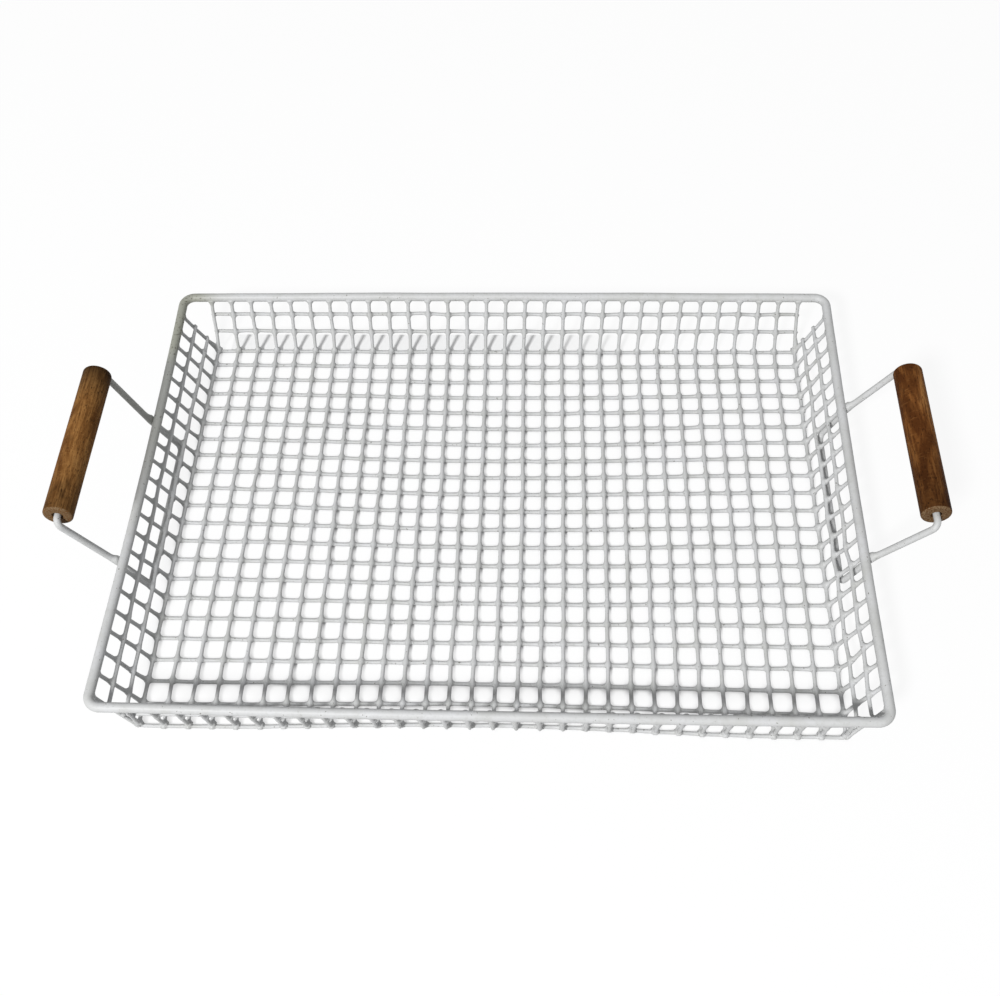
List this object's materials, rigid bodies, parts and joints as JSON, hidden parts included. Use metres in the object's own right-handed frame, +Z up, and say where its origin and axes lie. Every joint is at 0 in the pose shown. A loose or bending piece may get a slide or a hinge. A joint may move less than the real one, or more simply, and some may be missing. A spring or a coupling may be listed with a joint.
{
  "type": "wire mesh tray",
  "caption": "Shallow rectangular tray of coated welded wire mesh with a round rod rim and a raised wire handle with a turned wooden grip at each end.",
  "frame": {"origin": "on the surface the tray stands on, under the middle of its overall length and depth", "axes": "+X along the length from the left grip to the right grip, +Y to the back, +Z up"},
  "size_m": [0.4832, 0.2961, 0.0901],
  "materials": {
    "white_coat": "satin off-white coating over welded steel wire",
    "left_wood": "worn oiled reddish-brown hardwood",
    "right_wood": "worn oiled dark brown hardwood"
  },
  "bodies": {
    "tray": {"cross_wire_02": "white_coat", "cross_wire_03": "white_coat", "cross_wire_04": "white_coat", "cross_wire_05": "white_coat", "cross_wire_06": "white_coat", "cross_wire_07": "white_coat", "cross_wire_08": "white_coat", "cross_wire_09": "white_coat", "cross_wire_10": "white_coat", "cross_wire_11": "white_coat", "cross_wire_12": "white_coat", "cross_wire_13": "white_coat", "cross_wire_14": "white_coat", "cross_wire_15": "white_coat", "cross_wire_16": "white_coat", "cross_wire_17": "white_coat", "cross_wire_18": "white_coat", "cross_wire_19": "white_coat", "cross_wire_20": "white_coat", "cross_wire_21": "white_coat", "cross_wire_22": "white_coat", "cross_wire_23": "white_coat", "cross_wire_24": "white_coat", "cross_wire_25": "white_coat", "cross_wire_26": "white_coat", "cross_wire_27": "white_coat", "cross_wire_28": "white_coat", "cross_wire_29": "white_coat", "cross_wire_30": "white_coat", "long_wire_02": "white_coat", "long_wire_03": "white_coat", "long_wire_04": "white_coat", "long_wire_05": "white_coat", "long_wire_06": "white_coat", "long_wire_07": "white_coat", "long_wire_08": "white_coat", "long_wire_09": "white_coat", "long_wire_10": "white_coat", "long_wire_11": "white_coat", "long_wire_12": "white_coat", "long_wire_13": "white_coat", "long_wire_14": "white_coat", "long_wire_15": "white_coat", "long_wire_16": "white_coat", "long_wire_17": "white_coat", "long_wire_18": "white_coat", "long_wire_19": "white_coat", "long_wire_20": "white_coat", "long_wire_21": "white_coat", "front_wall_wires": "white_coat", "back_wall_wires": "white_coat", "left_wall_wires": "white_coat", "right_wall_wires": "white_coat", "rim_rod": "white_coat", "handle_frame_left": "white_coat", "handle_frame_right": "white_coat"},
    "left_grip": {"grip_left": "left_wood"},
    "right_grip": {"grip_right": "right_wood"}
  },
  "joints": [
    {"name": "left_grip_turn", "type": "hinge", "parent": "tray", "child": "left_grip", "pos_m": [-0.23349, -0.00479, 0.08195], "axis": [0, 1, 0], "continuous": true},
    {"name": "right_grip_turn", "type": "hinge", "parent": "tray", "child": "right_grip", "pos_m": [0.23349, 0.0072, 0.07192], "axis": [0, 1, 0], "continuous": true}
  ]
}
